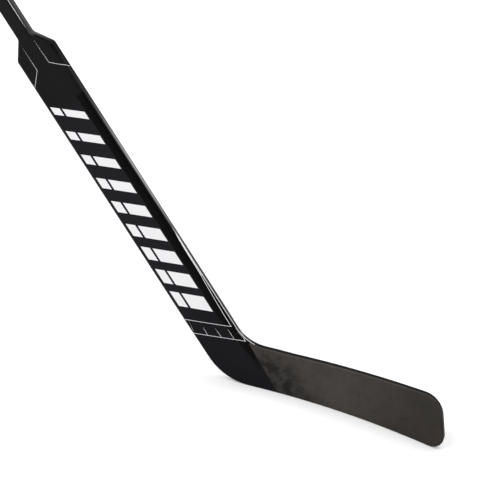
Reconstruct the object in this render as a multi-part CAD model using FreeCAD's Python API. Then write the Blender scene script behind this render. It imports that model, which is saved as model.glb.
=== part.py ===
"""Goalie stick: foam-sandwich paddle and blade on a hollow shaft, every layer and insert its own solid."""
import FreeCAD
import Part

import math
import os

from FreeCAD import Placement, Rotation, Vector

# The origin is the heel corner, where the line of the paddle's back edge meets the ice line.
# +X runs along the blade to the toe, +Z is up, and the front (forehand) face looks along -Y.
# Sizes are in millimetres and degrees.

# Shaft, shoulder and paddle
PADDLE_LEAN = 53.65
PADDLE_WIDTH = 76.5
PADDLE_TOP_WIDTH = 74.8
PADDLE_LENGTH = 628.0
STICK_THICKNESS = 19.2
EDGE_RADIUS = 6.0
SHOULDER_LENGTH = 29.0
SHOULDER_ROUND = 8.0
NECK_LENGTH = 12.0
SHAFT_WIDTH = 27.0
SHAFT_LENGTH = 828.0
SHAFT_WALL = 2.0

# Blade
BLADE_LENGTH = 394.5
BLADE_HEEL_HEIGHT = 79.5
BLADE_TOE_HEIGHT = 91.0
BLADE_RISE_START = 120.0
BLADE_RISE_ROUND = 400.0
BLADE_HEEL_THICKNESS = 12.0
BLADE_TOE_THICKNESS = 9.8
BLADE_EDGE_RADIUS = 2.0
CURVE_DEPTH = 44.5
FACE_OPENING = 7.3
HEEL_ROUND = 90.0
THROAT_ROUND = 62.0
TOE_RAKE = 12.0
TOE_TOP_ROUND = 34.0
TOE_BOTTOM_ROUND = 24.0

# Layers and inserts
SKIN = 1.0
RAIL_WIDTH = 9.0
STRINGER_WIDTH = 16.0
TONGUE_LENGTH = 50.0
HEEL_JOINT = 120.0
SEAM_OFFSET = 4.0
TENON_LENGTH = 30.0
TENON_GAP = 0.3
FOAM_GAP = 0.3
BLADE_LAP = 3.0
RIM_WIDTH = 6.0
RIB_HEIGHT = 6.0
SHOULDER_DEPTH = 60.0
SPIGOT_GRIP = 80.0
SPIGOT_SEAT = 70.0
PLUG_HEAD = 6.0
PLUG_HEAD_BEVEL = 2.5
PLUG_DEPTH = 36.0
PLUG_WALL = 2.4
BOND_GAP = 0.1

# Worked-out places
SHOULDER_TOP = PADDLE_LENGTH + SHOULDER_LENGTH
SHAFT_START = SHOULDER_TOP + NECK_LENGTH
SHAFT_END = SHAFT_START + SHAFT_LENGTH
SEAM = PADDLE_WIDTH + SEAM_OFFSET
REACH = 2 * PADDLE_WIDTH
LEAN = math.radians(PADDLE_LEAN)
FRONT = -STICK_THICKNESS / 2
BACK = STICK_THICKNESS / 2
LEANING = Placement(Vector(), Rotation(Vector(0, 1, 0), PADDLE_LEAN - 90))
TOE_SETBACK = BLADE_TOE_HEIGHT * math.tan(math.radians(TOE_RAKE))
TINY = 0.001
HEEL_STEPS = 3


def on_paddle(along, across):
    """Point of the middle plane, along the paddle from the heel corner and across it from its back edge."""
    return LEANING.multVec(Vector(across, 0, along))


def rounded_path(corners, closed):
    """Wire in the XZ plane through (point, radius) corners, each corner of some radius rounded by an arc."""
    count = len(corners)
    starts = []
    ends = []
    arcs = []
    for index, (corner, radius) in enumerate(corners):
        starts.append(corner)
        ends.append(corner)
        inner = closed or 0 < index < count - 1
        if radius <= 0 or not inner:
            continue
        back = (corners[index - 1][0] - corner).normalize()
        ahead = (corners[(index + 1) % count][0] - corner).normalize()
        half = back.getAngle(ahead) / 2
        starts[index] = corner + back * (radius / math.tan(half))
        ends[index] = corner + ahead * (radius / math.tan(half))
        middle = corner + (back + ahead).normalize() * (radius / math.sin(half) - radius)
        arcs.append(Part.Arc(starts[index], middle, ends[index]).toShape())
    runs = count if closed else count - 1
    lines = [Part.makeLine(ends[i], starts[(i + 1) % count]) for i in range(runs)]
    return Part.Wire(Part.__sortEdges__(lines + arcs))


def slab_between(wire, low, high):
    """Plate with an XZ outline, from y = low to y = high."""
    plate = Part.Face(wire).extrude(Vector(0, high - low, 0))
    plate.translate(Vector(0, low, 0))
    return plate


def bar(width, thickness, radius, start, end):
    """Bar along Z with a rounded rectangular section, centred on the paddle's axis."""
    blank = Part.makeBox(width, thickness, end - start)
    blank.translate(Vector(PADDLE_WIDTH / 2 - width / 2, -thickness / 2, start))
    upright = [edge for edge in blank.Edges if abs(edge.tangentAt(edge.FirstParameter).z) > 0.5]
    return blank.makeFillet(radius, upright)


def paddle_box(across, along, depth=None):
    """Box between two stations across and two along the upright paddle, over the whole thickness or a depth."""
    low, high = depth or (-REACH, REACH)
    box = Part.makeBox(across[1] - across[0], high - low, along[1] - along[0])
    box.translate(Vector(across[0], low, along[0]))
    return box


def lean(shape):
    """Turn a shape from the upright paddle to its lie."""
    leant = shape.copy()
    leant.Placement = LEANING.multiply(leant.Placement)
    return leant


# Outline of the heel and blade, seen from the front
THROAT = Vector((PADDLE_WIDTH - BLADE_HEEL_HEIGHT * math.cos(LEAN)) / math.sin(LEAN), 0, BLADE_HEEL_HEIGHT)
THROAT_CENTRE = Vector(
    (PADDLE_WIDTH + THROAT_ROUND - (BLADE_HEEL_HEIGHT + THROAT_ROUND) * math.cos(LEAN)) / math.sin(LEAN),
    0,
    BLADE_HEEL_HEIGHT + THROAT_ROUND,
)
CURVE_START = THROAT_CENTRE.x
HEEL_CORNER = Vector()
TOE_BOTTOM = Vector(BLADE_LENGTH, 0, 0)
TOE_TOP = Vector(BLADE_LENGTH - TOE_SETBACK, 0, BLADE_TOE_HEIGHT)
RISE = Vector(BLADE_RISE_START, 0, BLADE_HEEL_HEIGHT)

outer_edge = [(on_paddle(2 * HEEL_JOINT, 0), 0), (HEEL_CORNER, HEEL_ROUND)]
inner_edge = [(RISE, BLADE_RISE_ROUND), (THROAT, THROAT_ROUND), (on_paddle(2 * HEEL_JOINT, PADDLE_WIDTH), 0)]
toe_edge = [(TOE_BOTTOM, TOE_BOTTOM_ROUND), (TOE_TOP, TOE_TOP_ROUND)]
stick_outline = rounded_path(outer_edge + toe_edge + inner_edge, True)


def bend(x):
    """Share of the way along the curved stretch of the blade, from where the bend starts to the toe."""
    return max(0.0, (x - CURVE_START) / (BLADE_LENGTH - CURVE_START))


def on_middle(point):
    """The same point moved to the blade's middle surface, which bends forward to the toe and opens upwards."""
    lean_back = FACE_OPENING * (point.z / BLADE_TOE_HEIGHT - 0.5)
    return Vector(point.x, bend(point.x) ** 2 * (lean_back - CURVE_DEPTH), point.z)


def blade_thickness(x):
    """Thickness of the blade at a distance from the heel corner, thinning towards the toe."""
    return BLADE_HEEL_THICKNESS + (BLADE_TOE_THICKNESS - BLADE_HEEL_THICKNESS) * bend(x) ** 2


def heel_rulings():
    """Straight lines across the stick from the heel joint, fanned round the throat, to past the seam.

    Each is (point, direction down the line, thickness, edge radius), with the point inside the throat.
    The stick thins and its edges sharpen from the joint to the line through the seam's upper end.
    """
    fan_start = (THROAT - on_paddle(0, PADDLE_WIDTH)).Length + THROAT_ROUND * math.tan(LEAN / 2)
    straight_run = HEEL_JOINT - fan_start
    turn_width = THROAT_ROUND + PADDLE_WIDTH / 2
    seam_turn = math.acos(1 - SEAM_OFFSET / THROAT_ROUND)
    blade_run = SEAM / math.sin(LEAN) + TENON_LENGTH - CURVE_START
    stops = [Vector(0, 0, 0), Vector(straight_run, 0, 0), Vector(straight_run, seam_turn, 0)]
    stops += [Vector(straight_run, LEAN, 0), Vector(straight_run, LEAN, blade_run)]
    places = []
    for first, second in zip(stops, stops[1:]):
        places += [first + (second - first) * (step / HEEL_STEPS) for step in range(HEEL_STEPS)]
    lines = []
    for along, turn, past in places + stops[-1:]:
        share = min((along + turn * turn_width) / (straight_run + seam_turn * turn_width), 1.0)
        ease = share * share * (3 - 2 * share)
        thickness = STICK_THICKNESS + (blade_thickness(CURVE_START + past) - STICK_THICKNESS) * ease
        radius = EDGE_RADIUS + (BLADE_EDGE_RADIUS - EDGE_RADIUS) * ease
        down = Vector(-math.sin(LEAN - turn), 0, -math.cos(LEAN - turn))
        point = THROAT_CENTRE + on_paddle(straight_run - along, 0) + Vector(past, 0, 0)
        lines.append((point, down, thickness, radius))
    return lines


def round_part(centre, across, depth, radius, start, end):
    """Arc of an edge's round from one angle to another, measured from the across direction to the depth."""
    angles = (start, (start + end) / 2, end)
    spots = [centre + (across * math.cos(angle) + depth * math.sin(angle)) * radius for angle in angles]
    return Part.Arc(*spots).toShape()


def layer_wires(top, foot, thickness, radius):
    """Section across the heel between two edge points, as the wires of front skin, filling and back skin.

    The whole section is a rounded rectangle, and the skins are its outermost layers.
    """
    middle = (top + foot) * 0.5
    across = (foot - top).normalize()
    half = (foot - top).Length / 2
    depth = Vector(0, 1, 0)
    split = math.asin(1 - SKIN / radius)
    square = math.pi / 2
    skin_rounds = {}
    side_rounds = {}
    for face in (-1, 1):
        for side in (-1, 1):
            centre = middle + across * side * (half - radius) + depth * face * (thickness / 2 - radius)
            frame = (centre, across * side, depth * face, radius)
            skin_rounds[face, side] = round_part(*frame, split, square)
            side_rounds[face, side] = round_part(*frame, 0.0, split)

    def joined(rounds):
        """Closed wire of rounds in turn, with straight lines between them."""
        edges = []
        for index, (edge, backward) in enumerate(rounds):
            following, following_backward = rounds[(index + 1) % len(rounds)]
            tip = edge.Vertexes[0 if backward else -1].Point
            start = following.Vertexes[-1 if following_backward else 0].Point
            edges.append(edge)
            if tip.distanceToPoint(start) > TINY:
                edges.append(Part.makeLine(tip, start))
        return Part.Wire(edges)

    front = joined([(skin_rounds[-1, -1], False), (skin_rounds[-1, 1], True)])
    back = joined([(skin_rounds[1, -1], False), (skin_rounds[1, 1], True)])
    turn = [(side_rounds[-1, -1], False), (side_rounds[-1, 1], True), (side_rounds[1, 1], False)]
    turn.append((side_rounds[1, -1], True))
    return front, joined(turn), back


def heel_layers():
    """Front skin, filling and back skin of the heel, from the heel joint to the seam."""
    inner_wire = rounded_path(toe_edge[1:] + inner_edge, False)
    outer_wire = rounded_path(outer_edge + toe_edge[:1], False)
    sections = []
    for point, down, thickness, radius in heel_rulings():
        line = Part.makeLine(point, point + down * (2 * REACH))
        top = line.distToShape(inner_wire)[1][0][0]
        foot = line.distToShape(outer_wire)[1][0][0]
        sections.append(layer_wires(on_middle(top), on_middle(foot), thickness, radius))
    return [Part.makeLoft(list(wires), True, True).cut(beyond_seam(0)) for wires in zip(*sections)]


def blade_slab(inset):
    """Plate that follows the blade from the throat to past the toe, thinner by the inset on each face."""
    toe = BLADE_LENGTH + TOE_TOP_ROUND
    wires = []
    for height in (-TOE_TOP_ROUND, BLADE_TOE_HEIGHT + TOE_TOP_ROUND):

        def face_point(x, side):
            return on_middle(Vector(x, 0, height)) + Vector(0, side * (blade_thickness(x) / 2 - inset), 0)

        ends = []
        edges = []
        for side in (-1, 1):
            flat, near, halfway, far = [
                face_point(x, side) for x in (0.0, CURVE_START, (CURVE_START + toe) / 2, toe)
            ]
            curve = Part.BezierCurve()
            curve.setPoles([near, halfway * 2 - (near + far) * 0.5, far])
            edges += [Part.makeLine(flat, near), curve.toShape()]
            ends.append((flat, far))
        edges += [Part.makeLine(first, second) for first, second in zip(*ends)]
        wires.append(Part.Wire(Part.__sortEdges__(edges)))
    return Part.makeLoft(wires, True, True)


def beyond_seam(offset):
    """Block on the blade's side of a line along the paddle, at an offset from the seam."""
    block = paddle_box((SEAM + offset, SEAM + offset + 2 * BLADE_LENGTH), (-2 * BLADE_LENGTH, 2 * BLADE_LENGTH))
    return lean(block)


def paddle_blank():
    """Shoulder and paddle above the heel joint, upright, with rounded edges."""
    side = (PADDLE_WIDTH - SHAFT_WIDTH) / 2
    narrowing = (PADDLE_WIDTH - PADDLE_TOP_WIDTH) / 2
    left = [(0, HEEL_JOINT, 0), (narrowing, PADDLE_LENGTH, SHOULDER_ROUND)]
    left += [(side, SHOULDER_TOP, SHOULDER_ROUND), (side, SHAFT_START, 0)]
    right = [(PADDLE_WIDTH - across, along, radius) for across, along, radius in reversed(left)]
    corners = [(Vector(across, 0, along), radius) for across, along, radius in left + right]
    plate = slab_between(rounded_path(corners, True), FRONT, BACK)
    rims = []
    for edge in plate.Edges:
        flat = abs(abs(edge.CenterOfMass.y) - BACK) < 0.01
        ends = {round(vertex.Z, 3) for vertex in edge.Vertexes}
        if flat and ends not in ({HEEL_JOINT}, {SHAFT_START}):
            rims.append(edge)
    return plate.makeFillet(EDGE_RADIUS, rims)


def front_and_back(blank, core):
    """The two skins left when the core layer is taken out of a blank, the front one first."""
    skins = blank.cut(core).Solids
    return sorted(skins, key=lambda skin: skin.CenterOfMass.y)


def build():
    """All pieces by name."""
    pieces = {}

    # Shaft, its spigot and its plug
    middle = PADDLE_WIDTH / 2
    inner_width = SHAFT_WIDTH - 2 * SHAFT_WALL
    inner_thickness = STICK_THICKNESS - 2 * SHAFT_WALL
    inner_radius = EDGE_RADIUS - SHAFT_WALL
    tube = bar(SHAFT_WIDTH, STICK_THICKNESS, EDGE_RADIUS, SHAFT_START, SHAFT_END)
    bore = bar(inner_width, inner_thickness, inner_radius, SHAFT_START, SHAFT_END)
    pieces["shaft_tube"] = lean(tube.cut(bore))

    def insert(start, end, gap):
        return bar(inner_width - 2 * gap, inner_thickness - 2 * gap, inner_radius - gap, start, end)

    spigot_foot = SHAFT_START - SPIGOT_SEAT
    pieces["shaft_spigot"] = lean(insert(spigot_foot, SHAFT_START + SPIGOT_GRIP, BOND_GAP))
    head = bar(SHAFT_WIDTH, STICK_THICKNESS, EDGE_RADIUS, SHAFT_END, SHAFT_END + PLUG_HEAD)
    crown = [edge for edge in head.Edges if edge.BoundBox.ZMin > SHAFT_END + PLUG_HEAD / 2]
    head = head.makeChamfer(PLUG_HEAD_BEVEL, crown)
    stem = insert(SHAFT_END - PLUG_DEPTH, SHAFT_END, BOND_GAP)
    half_pocket = inner_width / 2 - PLUG_WALL
    pocket_depth = (PLUG_WALL - inner_thickness / 2, inner_thickness / 2 - PLUG_WALL)
    pocket_along = (SHAFT_END - PLUG_DEPTH, SHAFT_END - PLUG_WALL)
    pocket = paddle_box((middle - half_pocket, middle + half_pocket), pocket_along, pocket_depth)
    pieces["end_plug"] = lean(head.fuse(stem).cut(pocket).removeSplitter())

    # Paddle above the heel joint, upright: two skins and the core layer between them
    blank = paddle_blank()
    core_depth = (FRONT + SKIN, BACK - SKIN)
    everywhere = (-REACH, REACH)
    core_layer = paddle_box(everywhere, (0, SHAFT_END), core_depth)
    upper_front, upper_back = front_and_back(blank, core_layer)
    filling = blank.common(core_layer)
    shoulder_foot = PADDLE_LENGTH - SHOULDER_DEPTH
    stringer_sides = (middle - STRINGER_WIDTH / 2, middle + STRINGER_WIDTH / 2)
    straight = (HEEL_JOINT, shoulder_foot)
    bays = {
        "paddle_rail_back_side": (-REACH, RAIL_WIDTH),
        "paddle_core_back_side": (RAIL_WIDTH, stringer_sides[0]),
        "paddle_core_toe_side": (stringer_sides[1], PADDLE_WIDTH - RAIL_WIDTH),
        "paddle_rail_toe_side": (PADDLE_WIDTH - RAIL_WIDTH, REACH),
    }
    for name, sides in bays.items():
        pieces[name] = lean(filling.common(paddle_box(sides, straight)))
    socket = insert(spigot_foot - BOND_GAP, SHAFT_START, 0.0)
    shoulder = filling.common(paddle_box(everywhere, (shoulder_foot, SHAFT_START)))
    pieces["shoulder_block"] = lean(shoulder.cut(socket))

    # Heel: the skins run on over it to the seam, and the block between them takes the stringer's tongue
    heel_front, heel_filling, heel_back = heel_layers()
    pieces["paddle_front_skin"] = lean(upper_front).fuse(heel_front, TINY)
    pieces["paddle_back_skin"] = lean(upper_back).fuse(heel_back, TINY)
    slot = lean(paddle_box(stringer_sides, (HEEL_JOINT - TONGUE_LENGTH, HEEL_JOINT)))
    web = filling.common(paddle_box(stringer_sides, straight))
    pieces["paddle_stringer"] = lean(web).fuse(heel_filling.common(slot), TINY)

    # Blade beyond the seam: two skins, and between them a rim round two foams with a rib
    plate = slab_between(stick_outline, -BLADE_LENGTH, BLADE_LENGTH)
    opening = slab_between(stick_outline.makeOffset2D(-RIM_WIDTH), -BLADE_LENGTH, BLADE_LENGTH)
    blade = round_over(blade_slab(0).common(plate).common(beyond_seam(-BLADE_LAP))).common(beyond_seam(0))
    blade_core = blade_slab(SKIN)
    pieces["blade_front_skin"], pieces["blade_back_skin"] = front_and_back(blade, blade_core)
    pieces["blade_rim"] = blade.common(blade_core).cut(opening)
    past_tenon = beyond_seam(TENON_LENGTH)
    foam = blade_slab(SKIN + FOAM_GAP).common(opening).common(past_tenon)
    tenon = blade_slab(SKIN + TENON_GAP).common(opening).common(beyond_seam(-BLADE_LAP)).cut(past_tenon)
    pieces["heel_block"] = heel_filling.cut(slot).fuse(tenon)
    rib_foot = (BLADE_HEEL_HEIGHT - RIB_HEIGHT) / 2
    levels = {
        "blade_core_lower": (0, rib_foot),
        "blade_rib": (rib_foot, rib_foot + RIB_HEIGHT),
        "blade_core_upper": (rib_foot + RIB_HEIGHT, 2 * BLADE_TOE_HEIGHT),
    }
    for name, (low, high) in levels.items():
        level = Part.makeBox(2 * BLADE_LENGTH, 2 * BLADE_LENGTH, high - low)
        level.translate(Vector(0, -BLADE_LENGTH, low))
        pieces[name] = foam.common(level)
    return pieces


def round_over(blade):
    """Blade with the front and back rims of its outline rounded over, the seam's own edges left sharp."""
    rims = []
    for edge in blade.Edges:
        mid = edge.valueAt((edge.FirstParameter + edge.LastParameter) / 2)
        at_seam = abs(mid.x * math.sin(LEAN) + mid.z * math.cos(LEAN) - SEAM + BLADE_LAP) < 0.05
        along_depth = abs(edge.tangentAt((edge.FirstParameter + edge.LastParameter) / 2).y) > 0.9
        if not at_seam and not along_depth:
            rims.append(edge)
    return blade.makeFillet(BLADE_EDGE_RADIUS, rims)


os.makedirs("parts", exist_ok=True)
for piece_name, piece in build().items():
    if not piece.isValid() or len(piece.Solids) != 1:
        print("check", piece_name, "valid", piece.isValid(), "solids", len(piece.Solids))
    solid = piece.Solids[0]
    print(f"{piece_name:24s} {solid.Volume / 1000:8.2f} cm3  {len(solid.Faces):3d} faces")
    solid.exportStep(f"parts/{piece_name}.step")
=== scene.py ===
"""Hockey goalie stick on its CAD frame: lacquered shaft and paddle, bare laminate blade, painted lines."""

import logging
import math
from dataclasses import dataclass
from enum import Enum
from typing import Any, Iterable, Sequence

import bpy
import numpy as np
from mathutils import Matrix, Vector

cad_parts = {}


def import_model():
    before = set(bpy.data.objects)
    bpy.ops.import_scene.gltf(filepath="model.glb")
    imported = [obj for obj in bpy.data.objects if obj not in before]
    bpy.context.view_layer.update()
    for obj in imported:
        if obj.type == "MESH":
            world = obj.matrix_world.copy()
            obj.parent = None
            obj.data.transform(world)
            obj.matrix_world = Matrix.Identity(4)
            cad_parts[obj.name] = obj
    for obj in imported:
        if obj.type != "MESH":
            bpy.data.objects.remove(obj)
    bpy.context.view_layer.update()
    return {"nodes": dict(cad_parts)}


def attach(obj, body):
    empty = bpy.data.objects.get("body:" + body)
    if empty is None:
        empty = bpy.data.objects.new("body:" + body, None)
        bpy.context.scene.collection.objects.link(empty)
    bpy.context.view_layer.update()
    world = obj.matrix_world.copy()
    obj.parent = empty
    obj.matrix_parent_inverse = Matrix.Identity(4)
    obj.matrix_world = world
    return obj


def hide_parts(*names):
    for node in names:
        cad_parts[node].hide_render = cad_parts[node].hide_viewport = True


log = logging.getLogger("goalie_stick")
BODY = "root"
MM = 0.001
WHITE = (1.0, 1.0, 1.0, 1.0)


class Face(Enum):
    """The two broad faces of the stick, by the side of the middle surface that they lie on."""

    FRONT = -1
    BACK = 1


class Stretch(Enum):
    """Lengthwise stretches of the stick, each with the rows of its surface grid."""

    SHAFT = 12
    SHOULDER = 72
    PADDLE = 30
    HEEL = 80
    BLADE = 240


@dataclass(frozen=True)
class Corner:
    """Corner of an edge line in the stick's XZ plane, rounded by an arc where it has a radius."""

    place: np.ndarray
    radius: float = 0.0


class EdgePath:
    """Edge of the stick seen from the front: straight runs with arcs at its corners."""

    ARC_DEGREES = 1.2
    LEAST_ARC_POINTS = 3

    def __init__(self, corners: Sequence[Corner], inward: int) -> None:
        """Lay out the path.

        Args:
            corners: Corners in order from the shaft's end to the toe.
            inward: 1 or -1, the side of the path that the stick lies on.
        """
        places = [corners[0].place]
        for before, corner, after in zip(corners, corners[1:], corners[2:]):
            places += self._arc(before.place, corner, after.place)
        places.append(corners[-1].place)
        self.places = np.array(places)
        steps = np.diff(self.places, axis=0)
        lengths = np.linalg.norm(steps, axis=1)
        headings = steps / lengths[:, None]
        tangents = np.vstack([headings[:1], headings[:-1] + headings[1:], headings[-1:]])
        self.normals = inward * np.column_stack([tangents[:, 1], -tangents[:, 0]])
        self.run = np.concatenate([[0.0], np.cumsum(lengths)])

    @classmethod
    def _arc(cls, before: np.ndarray, corner: Corner, after: np.ndarray) -> list[np.ndarray]:
        """Points round one corner, or the corner itself where it is sharp.

        Args:
            before: The corner's neighbour towards the start.
            corner: The corner.
            after: The corner's neighbour towards the end.

        Returns:
            Points in the path's order.
        """
        if corner.radius <= 0:
            return [corner.place]
        back = (before - corner.place) / np.linalg.norm(before - corner.place)
        ahead = (after - corner.place) / np.linalg.norm(after - corner.place)
        half = math.acos(float(np.clip(back @ ahead, -1, 1))) / 2
        middle = (back + ahead) / np.linalg.norm(back + ahead)
        centre = corner.place + middle * corner.radius / math.sin(half)
        start = corner.place + back * corner.radius / math.tan(half) - centre
        swing = math.pi - 2 * half
        turn = math.copysign(1.0, start[1] * back[0] - start[0] * back[1])
        count = max(cls.LEAST_ARC_POINTS, int(math.degrees(swing) / cls.ARC_DEGREES) + 2)
        sideways = np.array([-start[1], start[0]])
        angles = np.linspace(0, turn * swing, count)
        return [centre + math.cos(angle) * start + math.sin(angle) * sideways for angle in angles]

    def at(self, run: np.ndarray) -> tuple[np.ndarray, np.ndarray]:
        """Places and inward normals at distances along the path.

        Args:
            run: Distances from the path's start.

        Returns:
            Places and unit normals, one row each.
        """
        places = np.column_stack([np.interp(run, self.run, self.places[:, axis]) for axis in (0, 1)])
        normals = np.column_stack([np.interp(run, self.run, self.normals[:, axis]) for axis in (0, 1)])
        return places, normals / np.linalg.norm(normals, axis=1)[:, None]

    def distance(self, places: np.ndarray) -> np.ndarray:
        """Distance from the path.

        Args:
            places: Places in the XZ plane, one row each.

        Returns:
            The distance of each place.
        """
        starts, steps = self.places[:-1], np.diff(self.places, axis=0)
        offsets = places[:, None] - starts
        share = np.clip((offsets * steps).sum(axis=2) / (steps * steps).sum(axis=1), 0.0, 1.0)
        return np.linalg.norm(offsets - steps * share[..., None], axis=2).min(axis=1)


@dataclass(frozen=True)
class StickForm:
    """Driving sizes of the stick in metres and radians, and the form that follows from them.

    The origin is the heel corner. From there, along runs up the paddle, and across runs from its back edge
    to the toe side.
    """

    lean: float = math.radians(53.65)
    paddle_width: float = 76.5 * MM
    paddle_top_width: float = 74.8 * MM
    paddle_length: float = 628 * MM
    thickness: float = 19.2 * MM
    edge_radius: float = 6 * MM
    shoulder_length: float = 29 * MM
    shoulder_round: float = 8 * MM
    shoulder_depth: float = 60 * MM
    neck_length: float = 12 * MM
    shaft_width: float = 27 * MM
    shaft_length: float = 828 * MM
    heel_joint: float = 120 * MM
    seam_offset: float = 4 * MM
    lacquer_ends: tuple[float, float] = (84.8 * MM, 77.6 * MM)
    blade_length: float = 394.5 * MM
    blade_heel_height: float = 79.5 * MM
    blade_toe_height: float = 91 * MM
    blade_rise_start: float = 120 * MM
    blade_rise_round: float = 400 * MM
    blade_heel_thickness: float = 12 * MM
    blade_toe_thickness: float = 9.8 * MM
    blade_edge_radius: float = 2 * MM
    curve_depth: float = 44.5 * MM
    face_opening: float = 7.3 * MM
    heel_round: float = 90 * MM
    throat_round: float = 62 * MM
    toe_rake: float = math.radians(12)
    toe_top_round: float = 34 * MM
    toe_bottom_round: float = 24 * MM

    @property
    def shaft_start(self) -> float:
        """Distance along the paddle where the shaft begins."""
        return self.paddle_length + self.shoulder_length + self.neck_length

    @property
    def shoulder_foot(self) -> float:
        """Distance along the paddle where the shoulder's solid block ends."""
        return self.paddle_length - self.shoulder_depth

    @property
    def throat(self) -> np.ndarray:
        """Corner where the paddle's toe-side edge would meet the blade's top edge."""
        return self._crossing(self.paddle_width, self.blade_heel_height)

    @property
    def throat_centre(self) -> np.ndarray:
        """Centre of the throat's round."""
        radius = self.throat_round
        return self._crossing(self.paddle_width + radius, self.blade_heel_height + radius)

    def _crossing(self, across: float, height: float) -> np.ndarray:
        """Place in the XZ plane at a distance across the paddle and a height above the floor."""
        return np.array([(across - height * math.cos(self.lean)) / math.sin(self.lean), height])

    def on_paddle(self, along: float, across: float) -> np.ndarray:
        """Place in the XZ plane of a distance along the paddle and one across it."""
        sin, cos = math.sin(self.lean), math.cos(self.lean)
        return np.array([across * sin - along * cos, across * cos + along * sin])

    def along(self, places: np.ndarray) -> np.ndarray:
        """Distance along the paddle of places in the XZ plane."""
        return places[..., 1] * math.sin(self.lean) - places[..., 0] * math.cos(self.lean)

    def across(self, places: np.ndarray) -> np.ndarray:
        """Distance across the paddle of places in the XZ plane."""
        return places[..., 0] * math.sin(self.lean) + places[..., 1] * math.cos(self.lean)

    def bend(self, places: np.ndarray) -> np.ndarray:
        """Share of the way along the blade's curved stretch."""
        start = self.throat_centre[0]
        return np.maximum(0.0, (places[..., 0] - start) / (self.blade_length - start))

    def middle(self, places: np.ndarray) -> np.ndarray:
        """Depth of the middle surface: the blade bends forward to the toe and opens upwards."""
        opening = self.face_opening * (places[..., 1] / self.blade_toe_height - 0.5)
        return self.bend(places) ** 2 * (opening - self.curve_depth)

    def ease(self, places: np.ndarray) -> np.ndarray:
        """How far the stick has changed from the paddle's section to the blade's, from 0 to 1.

        Args:
            places: Places in the XZ plane.

        Returns:
            The share, eased at both ends of the heel.
        """
        centre = self.throat_centre
        straight_run = self.heel_joint - float(self.along(centre))
        turn_width = self.throat_round + self.paddle_width / 2
        seam_turn = math.acos(1 - self.seam_offset / self.throat_round)
        spokes = centre - places
        turn = np.clip(self.lean - np.arctan2(spokes[..., 0], spokes[..., 1]), 0.0, self.lean)
        straight = np.clip(self.heel_joint - self.along(places), 0.0, straight_run)
        share = np.clip((straight + turn * turn_width) / (straight_run + seam_turn * turn_width), 0.0, 1.0)
        return share * share * (3 - 2 * share)

    def half_thickness(self, places: np.ndarray) -> np.ndarray:
        """Half the stick's thickness.

        Args:
            places: Places in the XZ plane.

        Returns:
            The distance from the middle surface to either face.
        """
        thinning = self.blade_toe_thickness - self.blade_heel_thickness
        blade = self.blade_heel_thickness + thinning * self.bend(places) ** 2
        return (self.thickness + (blade - self.thickness) * self.ease(places)) / 2

    def round_radius(self, places: np.ndarray) -> np.ndarray:
        """Radius of the rounded edges at places in the XZ plane."""
        return self.edge_radius + (self.blade_edge_radius - self.edge_radius) * self.ease(places)

    def on_face(self, places: np.ndarray, face: Face, drop: np.ndarray | float = 0.0) -> np.ndarray:
        """Points of a broad face, or below it where its edges are rounded.

        Args:
            places: Places in the XZ plane, one row each.
            face: Which face.
            drop: How far the points lie below the face.

        Returns:
            Points, one row each.
        """
        depth = self.middle(places) + face.value * (self.half_thickness(places) - drop)
        return np.column_stack([places[:, 0], depth, places[:, 1]])

    def edge_paths(self) -> tuple[EdgePath, EdgePath]:
        """Edges of the whole stick, from the shaft's end to the middle of the toe.

        Returns:
            The toe-side edge and the back edge.
        """
        narrowing = (self.paddle_width - self.paddle_top_width) / 2
        side = (self.paddle_width - self.shaft_width) / 2
        top = self.paddle_length + self.shoulder_length
        setback = self.blade_toe_height * math.tan(self.toe_rake)
        toe_bottom = np.array([self.blade_length, 0.0])
        toe_top = np.array([self.blade_length - setback, self.blade_toe_height])
        toe_middle = Corner((toe_bottom + toe_top) / 2)

        def upper(edge: float, towards: int) -> list[Corner]:
            """Corners from the shaft's end to the heel joint, by one edge of the paddle.

            Args:
                edge: Distance across at which the edge lies.
                towards: 1 or -1, the way across to the stick's middle.

            Returns:
                The corners in order.
            """
            inset = edge + towards * side
            return [
                Corner(self.on_paddle(self.shaft_start + self.shaft_length, inset)),
                Corner(self.on_paddle(top, inset), self.shoulder_round),
                Corner(self.on_paddle(self.paddle_length, edge + towards * narrowing), self.shoulder_round),
                Corner(self.on_paddle(self.heel_joint, edge)),
            ]

        toe_side = upper(self.paddle_width, -1) + [
            Corner(self.throat, self.throat_round),
            Corner(np.array([self.blade_rise_start, self.blade_heel_height]), self.blade_rise_round),
            Corner(toe_top, self.toe_top_round),
            toe_middle,
        ]
        back_side = upper(0.0, 1) + [Corner(np.zeros(2), self.heel_round)]
        back_side += [Corner(toe_bottom, self.toe_bottom_round), toe_middle]
        return EdgePath(toe_side, 1), EdgePath(back_side, -1)


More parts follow.
